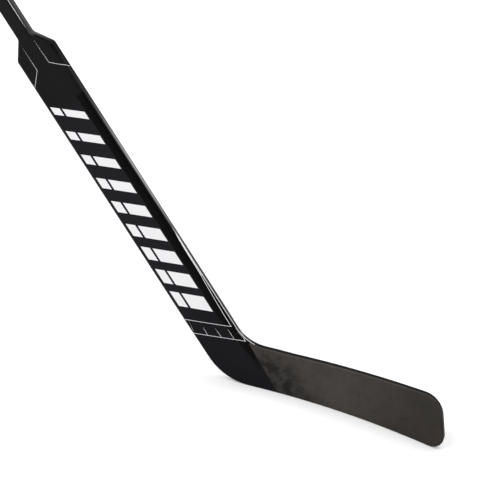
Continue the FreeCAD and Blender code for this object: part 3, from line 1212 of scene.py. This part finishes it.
@dataclass
class Paddle:
    """Shoulder, paddle and heel: two broad faces, four edge strips and what lies between them."""

    grid: SurfaceGrid
    finishes: Finishes
    wall: float = 1 * MM

    def build(self) -> None:
        """Make the faces and edge strips."""
        faces = [Stretch.SHOULDER, Stretch.PADDLE, Stretch.HEEL]
        wrap = self.grid.LACQUER_WRAP
        for face, name in ((Face.FRONT, "paddle_front"), (Face.BACK, "paddle_back")):
            shell = ShellMesh(self.grid, self.wall)
            shell.add(faces, self.grid.face_columns(face, wrap))
            settle(shell.piece(f"{name}_face", self.finishes.paddle), "paddle_lacquer", f"{name}_skin")
        for toe_side, name in ((True, "toe_side"), (False, "back_side")):
            shell = ShellMesh(self.grid, self.wall)
            shell.add([Stretch.PADDLE], self.grid.side_columns(toe_side, wrap))
            strip = shell.piece(f"paddle_edge_{name}", self.finishes.edge)
            settle(strip, "edge_lacquer", f"paddle_rail_{name}")
        for stretch, name in ((Stretch.SHOULDER, "shoulder"), (Stretch.HEEL, "heel")):
            shell = ShellMesh(self.grid, self.wall)
            for toe_side in (True, False):
                shell.add([stretch], self.grid.side_columns(toe_side, wrap))
            settle(shell.piece(f"{name}_edges", self.finishes.edge), "edge_lacquer", f"{name}_block")

    def dress(self, nodes: dict[str, bpy.types.Object]) -> None:
        """Give the carried-over solids their finish."""
        dress_nodes(nodes, self.finishes.foam, "paddle_core_back_side", "paddle_core_toe_side")
        dress_nodes(nodes, self.finishes.moulded, "paddle_stringer")


@dataclass
class Blade:
    """Curved blade of bare laminate: two faces, the rim round them and the core inside."""

    grid: SurfaceGrid
    finishes: Finishes
    wall: float = 1 * MM
    wrap: int = 1

    def build(self) -> None:
        """Make the faces and the rim, which takes in the back face's rounded edge as a dark bead of painted
        shade.
        """
        rounds = self.grid.ROUND_POINTS - 1
        for face, name in ((Face.FRONT, "blade_front"), (Face.BACK, "blade_back")):
            shell = ShellMesh(self.grid, self.wall)
            shell.add([Stretch.BLADE], self.grid.face_columns(face, self.wrap, rounds), toe=True)
            settle(shell.piece(f"{name}_face", self.finishes.blade), "blade_laminate", f"{name}_skin")
        shell = ShellMesh(self.grid, self.wall)
        for toe_side in (True, False):
            columns = self.grid.side_columns(toe_side, self.wrap, rounds)
            # The back face's rounded edge gets the dark finish: painted shade along the outline.
            painted_shade_bead = columns[:rounds] if toe_side else columns[-rounds - 1 : -1]
            shell.add([Stretch.BLADE], columns, toe=True, second=painted_shade_bead)
        band = shell.piece("blade_rim_band", self.finishes.rim, self.finishes.painted_shade_bead)
        settle(band, "blade_laminate", "blade_rim")

    def dress(self, nodes: dict[str, bpy.types.Object]) -> None:
        """Give the carried-over solids their finish."""
        dress_nodes(nodes, self.finishes.foam, "blade_core_lower", "blade_core_upper")
        dress_nodes(nodes, self.finishes.moulded, "blade_rib")


def dress_nodes(nodes: dict[str, bpy.types.Object], material: bpy.types.Material, *names: str) -> None:
    """Put a finish on CAD nodes that stay in the scene.

    Args:
        nodes: The frame's nodes.
        material: The finish.
        names: Which nodes.
    """
    for name in names:
        nodes[name].data.materials.clear()
        nodes[name].data.materials.append(material)


class GeometryTool:
    """Geometry Nodes tree that turns a simple mesh into a finished one."""

    def __init__(self, name: str, sizes: dict[str, tuple[str, Any]]) -> None:
        """Start a tree.

        Args:
            name: Name of the tree.
            sizes: Input name to its socket type and default value.
        """
        self.tree = bpy.data.node_groups.new(name, "GeometryNodeTree")
        sockets = self.tree.interface
        sockets.new_socket(name="Geometry", in_out="INPUT", socket_type="NodeSocketGeometry")
        sockets.new_socket(name="Material", in_out="INPUT", socket_type="NodeSocketMaterial")
        for label, (kind, value) in sizes.items():
            sockets.new_socket(name=label, in_out="INPUT", socket_type=kind).default_value = value
        sockets.new_socket(name="Geometry", in_out="OUTPUT", socket_type="NodeSocketGeometry")
        self.nodes = NodeTree(self.tree)
        self.given = self.nodes.add("NodeGroupInput").outputs

    def end(self, geometry: bpy.types.NodeSocket) -> None:
        """Finish the tree with real geometry that carries the finish.

        Args:
            geometry: What the tree has made.
        """
        real = self.nodes.out("GeometryNodeRealizeInstances", {0: geometry})
        dressing = {"Geometry": real, "Material": self.given["Material"]}
        self.nodes.add("NodeGroupOutput", {0: self.nodes.out("GeometryNodeSetMaterial", dressing)})

    def run(
        self, name: str, mesh: bpy.types.Mesh, material: bpy.types.Material, **sizes: Any
    ) -> bpy.types.Object:
        """Turn a mesh into a plain finished piece.

        Args:
            name: Name of the piece.
            mesh: What the tree works on.
            material: The finish.
            sizes: Input values by name, with underscores for spaces.

        Returns:
            The new object.
        """
        piece = add_piece(name, mesh, material)
        modifier = piece.modifiers.new("tool", "NODES")
        modifier.node_group = self.tree
        values = {key.replace("_", " "): value for key, value in sizes.items()} | {"Material": material}
        for item in self.tree.interface.items_tree:
            if item.in_out == "INPUT" and item.name in values:
                modifier[item.identifier] = values[item.name]
        bpy.context.view_layer.update()
        finished = piece.evaluated_get(bpy.context.evaluated_depsgraph_get())
        result = bpy.data.meshes.new_from_object(finished)
        piece.modifiers.remove(modifier)
        piece.data = result
        result.name = name
        return piece


@dataclass(frozen=True)
class PaintedLine:
    """Line on the front of the stick, in millimetres.

    Its corners lie along and across the paddle. onto_side says how far it runs on over the toe-side edge,
    towards the back and along the paddle.
    """

    corners: tuple[tuple[float, float], ...]
    weight: float = 1.0
    onto_side: tuple[float, float] | None = None


@dataclass(frozen=True)
class EdgeLineAndHighlight:
    """White line down the toe-side edge, in millimetres along the paddle: partly a painted pinstripe, partly
    a painted highlight on the rounding.

    Its drift gives places along the paddle, and how many grid columns past the rounding it lies at each.
    """

    foot: float
    top: float
    drift: tuple[tuple[float, float], ...]
    weight: float = 1.0


@dataclass(frozen=True)
class LineGroup:
    """Painted lines that make one piece."""

    name: str
    width: float
    taper: float
    lines: tuple[PaintedLine, ...]


@dataclass(frozen=True)
class Route:
    """Points of a painted line, the way that the surface faces there, and the line's share of the width."""

    points: np.ndarray
    normals: np.ndarray
    weight: float = 1.0


@dataclass
class PaddleArt:
    """Painted line work and slanted bars on the front of the paddle. The lines along the toe-side edge and
    the shaft are partly painted highlights.

    A line has a point each step, each round_step where it climbs a rounding, and each row_step rows of the
    grid down the toe-side edge. It starts at START_SHARE of its width.
    """

    START_SHARE = 0.15
    LEAST_TAPER = 0.0001

    grid: SurfaceGrid
    finishes: Finishes
    film: float = 0.1 * MM
    step: float = 2 * MM
    round_step: float = 0.5 * MM
    row_step: float = 0.2
    side_steps: int = 5
    edge_line_and_highlight_width: float = 2.4 * MM
    edge_line_and_highlight_taper: float = 0.1
    edge_line_and_highlight_end_share: float = 0.5
    edge_lines_and_highlights: tuple[EdgeLineAndHighlight, ...] = (
        EdgeLineAndHighlight(foot=36.0, top=276.0, drift=((60.0, 1.6), (110.0, 1.1), (235.0, 1.1), (262.0, 2.0))),
        EdgeLineAndHighlight(foot=182.0, top=264.0, drift=((182.0, -1.6), (230.0, -0.8), (264.0, 1.2)), weight=1.1),
    )
    groups: tuple[LineGroup, ...] = (
        LineGroup(
            "shoulder_lines",
            width=0.62 * MM,
            taper=0.7,
            lines=(
                PaintedLine(
                    (
                        (645.5, 52.5), (603.9, 54.0), (592.7, 70.0),
                        (590.5, 72.8), (588.3, 74.9), (586.1, 75.7),
                    ),
                    onto_side=(6.0, -4.2),
                ),
                PaintedLine(
                    (
                        (645.2, 26.8), (601.5, 26.6), (582.0, 7.1),
                        (579.3, 4.1), (576.9, 1.8), (576.1, 1.2),
                    ),
                ),
            ),
        ),
        LineGroup(
            "heel_lines",
            width=0.8 * MM,
            taper=0.12,
            lines=(
                PaintedLine(((196.0, 76.3), (82.7, 73.4), (126.2, 3.0))),
                PaintedLine(((75.8, 76.2), (48.7, 80.3), (97.4, 2.4))),
            ),
        ),
        LineGroup(
            "heel_rungs",
            width=0.6 * MM,
            taper=0.6,
            lines=(
                PaintedLine(((118.0, 8.9), (99.5, 4.9)), weight=0.45),
                PaintedLine(((100.5, 25.9), (84.4, 24.7))),
                PaintedLine(((90.3, 44.9), (71.9, 44.9))),
                PaintedLine(((81.8, 64.8), (60.6, 63.9))),
            ),
        ),
        # The shaft's white line lies on the toe-side rounding: partly a painted pinstripe, partly a painted
        # highlight.
        LineGroup(
            "shaft_line_and_highlight",
            width=0.7 * MM,
            taper=0.03,
            lines=(PaintedLine(((668.0, 50.6), (1440.0, 50.2))),),
        ),
    )
    bar_count: int = 9
    bar_pitch: float = 46 * MM
    bar_start: float = 172 * MM
    bar_slope: float = -43.4 / 69.0
    bar_heights: tuple[float, float] = (30 * MM, 14 * MM)
    bar_spans: tuple[tuple[float, float], ...] = ((9 * MM, 23 * MM), (27 * MM, 60 * MM))

    def build(self) -> None:
        """Make the lines, rungs and bars."""
        tool = self._line_tool()
        paint = self.finishes.paint
        for group in self.groups:
            mesh = self._route_mesh(group.name, [self._on_front(line) for line in group.lines])
            sizes = {"Line_Width": group.width, "Film": self.film, "Taper": group.taper}
            settle(tool.run(group.name, mesh, paint, **sizes), "line_paint")
        # The edge lines: white paint on the toe-side rounding, partly pinstripe and partly a painted
        # highlight where the rounding catches the light.
        edge_line_and_highlight = tool.run(
            "edge_line_and_highlight",
            self._route_mesh("edge_line_and_highlight", [self._on_edge(line) for line in self.edge_lines_and_highlights]),
            paint,
            Line_Width=self.edge_line_and_highlight_width,
            Film=self.film,
            Taper=self.edge_line_and_highlight_taper,
            End_Share=self.edge_line_and_highlight_end_share,
        )
        settle(edge_line_and_highlight, "line_paint")
        bars = self._bar_tool().run(
            "paddle_bars",
            self._bar_mesh(),
            paint,
            Bar_Count=self.bar_count,
            Bar_Pitch=self.bar_pitch,
            First_Bar=self.bar_start,
            Low_Height=self.bar_heights[0],
            High_Height=self.bar_heights[1],
            Slope=self.bar_slope,
            Lean=self.grid.form.lean - math.pi / 2,
        )
        settle(bars, "line_paint")

    def _on_front(self, line: PaintedLine) -> Route:
        """Route of a line over the front face, and on over the toe-side edge where the line says so.

        Args:
            line: The line.

        Returns:
            Its route.
        """
        form = self.grid.form
        corners = np.array([form.on_paddle(along * MM, across * MM) for along, across in line.corners])
        margins = self.grid.margin(corners)
        stops = [corners[:1]]
        for index, (first, second) in enumerate(zip(corners, corners[1:])):
            pair = margins[index : index + 2]
            climbs = pair.min() < form.edge_radius and np.ptp(pair) > self.round_step
            step = self.round_step if climbs else self.step
            count = max(1, int(np.linalg.norm(second - first) / step))
            stops.append(np.linspace(first, second, count + 1)[1:])
        places = np.vstack(stops)
        points, normals = self.grid.over_front(places), self.grid.front_normals(places)
        if line.onto_side:
            shares = np.linspace(1 / self.side_steps, 1.0, self.side_steps)
            places = corners[-1] + np.outer(shares, form.on_paddle(line.onto_side[1] * MM, 0.0))
            depths = form.edge_radius - form.thickness / 2 + shares * line.onto_side[0] * MM
            outward = form.on_paddle(0.0, 1.0)
            points = np.vstack([points, np.column_stack([places[:, 0], depths, places[:, 1]])])
            normals = np.vstack([normals, np.tile((outward[0], 0.0, outward[1]), (len(shares), 1))])
        return Route(points, normals, line.weight)

    def _on_edge(self, line: EdgeLineAndHighlight) -> Route:
        """Route of a line down the toe-side edge, between the grid's columns.

        Args:
            line: The line.

        Returns:
            Its route.
        """
        grid = self.grid
        rows = np.arange(grid.rows[Stretch.PADDLE][0], grid.rows[Stretch.BLADE][1] - 1, self.row_step)
        along = grid.form.along(grid.between(rows, np.zeros(len(rows)))[0][:, ::2]) / MM
        kept = (along > line.foot) & (along < line.top)
        past = np.interp(along[kept], *zip(*line.drift))
        return Route(*grid.between(rows[kept], -past), line.weight)

    @staticmethod
    def _route_mesh(name: str, routes: Sequence[Route]) -> bpy.types.Mesh:
        """Edge-only mesh of routes, with the way that each point faces and its share of the width.

        Args:
            name: Name of the piece.
            routes: The routes.

        Returns:
            The mesh.
        """
        edges: list[tuple[int, int]] = []
        first = 0
        for route in routes:
            last = first + len(route.points) - 1
            edges += [(index, index + 1) for index in range(first, last)]
            first = last + 1
        mesh = bpy.data.meshes.new(f"{name}_route")
        mesh.from_pydata(np.vstack([route.points for route in routes]).tolist(), edges, [])
        normals = np.vstack([route.normals for route in routes])
        weights = np.concatenate([np.full(len(route.points), route.weight) for route in routes])
        mesh.attributes.new("facing", "FLOAT_VECTOR", "POINT").data.foreach_set("vector", normals.ravel())
        mesh.attributes.new("weight", "FLOAT", "POINT").data.foreach_set("value", weights)
        return mesh

    @classmethod
    def _line_tool(cls) -> GeometryTool:
        """Tree that sweeps a flat band along each line, drawn out at its start and slimmer to its end.

        Returns:
            The tool.
        """
        real = "NodeSocketFloat"
        tool = GeometryTool(
            "painted_line",
            {
                "Line Width": (real, 0.002),
                "Film": (real, 0.0001),
                "Taper": (real, 0.0),
                "End Share": (real, 1.0),
            },
        )
        nodes, given = tool.nodes, tool.given
        facing, weight = (
            nodes.out("GeometryNodeInputNamedAttribute", {"Name": name}, data_type=kind)
            for name, kind in (("facing", "FLOAT_VECTOR"), ("weight", "FLOAT"))
        )
        curve = nodes.out("GeometryNodeMeshToCurve", {"Mesh": given["Geometry"]})
        upright = nodes.out("GeometryNodeSetCurveNormal", {"Curve": curve, "Normal": facing}, mode="FREE")
        depth = nodes.math("MULTIPLY", given["Film"], 2.0)
        sides = {"Width": depth, "Height": given["Line Width"]}
        band = nodes.out("GeometryNodeCurvePrimitiveQuadrilateral", sides)
        way = nodes.add("GeometryNodeSplineParameter").outputs["Factor"]
        taper = nodes.math("MAXIMUM", given["Taper"], cls.LEAST_TAPER)
        drawn = nodes.math("ADD", nodes.math("DIVIDE", way, taper), cls.START_SHARE)
        slimming = nodes.math("SUBTRACT", given["End Share"], 1.0)
        slimmed = nodes.math("MULTIPLY_ADD", way, slimming, 1.0)
        share = nodes.math("MULTIPLY", nodes.math("MINIMUM", drawn, 1.0), slimmed)
        scale = nodes.math("MULTIPLY", share, weight)
        sweep = {"Curve": upright, "Profile Curve": band, "Scale": scale, "Fill Caps": True}
        tool.end(nodes.out("GeometryNodeCurveToMesh", sweep))
        return tool

    def _bar_mesh(self) -> bpy.types.Mesh:
        """Upright plates of one bar, unit height, in the film's depth on the front face.

        Returns:
            The mesh.
        """
        points: list[tuple[float, float, float]] = []
        faces: list[tuple[int, ...]] = []
        surface = -self.grid.form.thickness / 2
        quads = ((0, 1, 2, 3), (7, 6, 5, 4), (0, 4, 5, 1), (1, 5, 6, 2), (2, 6, 7, 3), (3, 7, 4, 0))
        for low, high in self.bar_spans:
            base = len(points)
            corners = ((low, -0.5), (high, -0.5), (high, 0.5), (low, 0.5))
            for depth in (surface - self.film, surface + self.film):
                points += [(across, depth, height) for across, height in corners]
            faces += [tuple(base + corner for corner in quad) for quad in quads]
        mesh = bpy.data.meshes.new("paddle_bar")
        mesh.from_pydata(points, [], faces)
        return mesh

    @staticmethod
    def _bar_tool() -> GeometryTool:
        """Tree that repeats a bar up the paddle, each lower than the last, slants them and leans them.

        Returns:
            The tool.
        """
        real = "NodeSocketFloat"
        tool = GeometryTool(
            "slanted_bars",
            {
                "Bar Count": ("NodeSocketInt", 5),
                "Bar Pitch": (real, 0.05),
                "First Bar": (real, 0.1),
                "Low Height": (real, 0.03),
                "High Height": (real, 0.01),
                "Slope": (real, 0.0),
                "Lean": (real, 0.0),
            },
        )
        nodes, given = tool.nodes, tool.given

        def vector(**parts: Any) -> bpy.types.NodeSocket:
            """Vector of the named parts."""
            return nodes.out("ShaderNodeCombineXYZ", parts)

        row = {"Count": given["Bar Count"], "Start Location": vector(Z=given["First Bar"])}
        places = nodes.out("GeometryNodeMeshLine", row | {"Offset": vector(Z=given["Bar Pitch"])})
        last = nodes.math("SUBTRACT", given["Bar Count"], 1.0)
        heights = {"From Max": last, "To Min": given["Low Height"], "To Max": given["High Height"]}
        index = nodes.out("GeometryNodeInputIndex")
        height = nodes.out("ShaderNodeMapRange", {"Value": index} | heights)
        placing = {"Points": places, "Instance": given["Geometry"], "Scale": vector(X=1.0, Y=1.0, Z=height)}
        instances = nodes.out("GeometryNodeInstanceOnPoints", placing)
        bars = nodes.out("GeometryNodeRealizeInstances", {0: instances})
        across = nodes.out("ShaderNodeSeparateXYZ", {0: nodes.out("GeometryNodeInputPosition")})
        rise = vector(Z=nodes.math("MULTIPLY", across, given["Slope"]))
        slanted = nodes.out("GeometryNodeSetPosition", {"Geometry": bars, "Offset": rise})
        turned = {"Geometry": slanted, "Rotation": vector(Y=given["Lean"])}
        tool.end(nodes.out("GeometryNodeTransform", turned))
        return tool


@dataclass(frozen=True)
class Softbox:
    """Rectangular lamp that looks at a point."""

    name: str
    place: tuple[float, float, float]
    target: tuple[float, float, float]
    size: tuple[float, float]
    power: float

    def build(self) -> None:
        """Add the lamp to the scene."""
        light = bpy.data.lights.new(self.name, "AREA")
        light.shape = "RECTANGLE"
        light.size, light.size_y = self.size
        light.energy = self.power
        lamp = bpy.data.objects.new(self.name, light)
        lamp.location = self.place
        lamp.rotation_euler = (Vector(self.target) - Vector(self.place)).to_track_quat("-Z", "Y").to_euler()
        bpy.context.scene.collection.objects.link(lamp)


@dataclass(frozen=True)
class Studio:
    """Pale floor, soft light and the camera at the photograph's viewing angle."""

    azimuth: float = math.radians(17.58)
    elevation: float = math.radians(30.53)
    roll: float = math.radians(3.67)
    aim: tuple[float, float, float] = (31.32 * MM, 0.24 * MM, 257.72 * MM)
    distance: float = 2404 * MM
    lens: float = 108.34
    sensor: float = 36.0
    floor_reach: float = 14.0
    floor_drop: float = 0.2 * MM
    floor_colour: tuple[float, float, float] = (0.86, 0.86, 0.86)
    floor_roughness: float = 0.9
    floor_specular: float = 0.1
    floor_lifts: tuple[float, float] = (0.12, 0.8)
    floor_lift_ends: tuple[float, float] = (0.9, 2.4)
    ambient: float = 0.62
    lamps: tuple[Softbox, ...] = (
        Softbox("key_softbox", (-1.4, -1.6, 2.9), (0.0, 0.0, 0.4), (2.2, 2.2), power=62.0),
        Softbox("top_softbox", (0.9, 0.6, 3.2), (0.0, 0.0, 0.3), (2.4, 2.4), power=50.0),
        Softbox("rim_softbox", (1.7, 2.9, 1.1), (-0.2, 0.0, 0.4), (0.5, 0.6), power=5.0),
    )

    def build(self) -> None:
        """Make the floor, world, lamps and camera."""
        self._floor()
        self._world()
        for lamp in self.lamps:
            lamp.build()
        self._camera()

    @staticmethod
    def _seen(nodes: NodeTree) -> bpy.types.NodeSocket:
        """One for rays that show the background: from the camera, a gloss or a clear material.

        Args:
            nodes: Nodes of the floor or the world.

        Returns:
            The value.
        """
        path = nodes.add("ShaderNodeLightPath").outputs
        either = nodes.math("MAXIMUM", path["Is Camera Ray"], path["Is Glossy Ray"])
        return nodes.math("MAXIMUM", either, path["Is Transmission Ray"])

    def _floor(self) -> None:
        """Wide pale floor under the blade, white far off where it is seen, with the stick's shadow kept."""
        reach = self.floor_reach
        corners = [(-reach, -reach, 0), (reach, -reach, 0), (reach, reach, 0), (-reach, reach, 0)]
        mesh = bpy.data.meshes.new("studio_floor")
        mesh.from_pydata(corners, [], [(0, 1, 2, 3)])
        nodes, shader, material = Finish.start("studio_floor")
        away = nodes.add("ShaderNodeVectorMath", {0: Finish.place(nodes)}, operation="LENGTH")
        lift = nodes.ramp(away.outputs["Value"], *self.floor_lift_ends, *self.floor_lifts)
        looks = {
            "Base Color": opaque(self.floor_colour),
            "Roughness": self.floor_roughness,
            "Specular IOR Level": self.floor_specular,
            "Emission Color": WHITE,
            "Emission Strength": nodes.math("MULTIPLY", self._seen(nodes), lift),
        }
        nodes.fill(shader, looks)
        floor = add_piece("studio_floor", mesh, material)
        floor.location.z = -self.floor_drop

    def _world(self) -> None:
        """White surround that lights the stick softly."""
        world = bpy.data.worlds.new("studio")
        world.use_nodes = True
        nodes = NodeTree(world.node_tree)
        strength = nodes.math("MULTIPLY_ADD", self._seen(nodes), 1.0 - self.ambient, self.ambient)
        nodes.fill(world.node_tree.nodes["Background"], {"Color": WHITE, "Strength": strength})
        bpy.context.scene.world = world

    def _camera(self) -> None:
        """Camera at the photograph's viewing angle."""
        level = math.cos(self.elevation)
        sin, cos = math.sin(self.azimuth), math.cos(self.azimuth)
        away = Vector((sin * level, -cos * level, math.sin(self.elevation)))
        right = Vector((cos, sin, 0.0))
        up = away.cross(right)
        rolled_right = right * math.cos(self.roll) + up * math.sin(self.roll)
        rolled_up = up * math.cos(self.roll) - right * math.sin(self.roll)
        data = bpy.data.cameras.new("camera")
        data.lens = self.lens
        data.sensor_width = self.sensor
        data.sensor_height = self.sensor
        camera = bpy.data.objects.new("camera", data)
        turn = Matrix((rolled_right, rolled_up, away)).transposed().to_4x4()
        camera.matrix_world = Matrix.Translation(Vector(self.aim) + away * self.distance) @ turn
        bpy.context.scene.collection.objects.link(camera)
        bpy.context.scene.camera = camera


def main() -> None:
    """Load the frame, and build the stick's sub-assemblies and the studio."""
    logging.basicConfig(level=logging.INFO, format="%(name)s %(message)s")
    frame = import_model()
    bpy.context.scene.view_settings.view_transform = "Standard"
    form = StickForm()
    grid = SurfaceGrid(form)
    finishes = Finishes.make(form)
    for assembly in (Shaft(grid, finishes), Paddle(grid, finishes), Blade(grid, finishes)):
        assembly.build()
        assembly.dress(frame["nodes"])
    PaddleArt(grid, finishes).build()
    Studio().build()


if __name__ == "__main__":
    main()
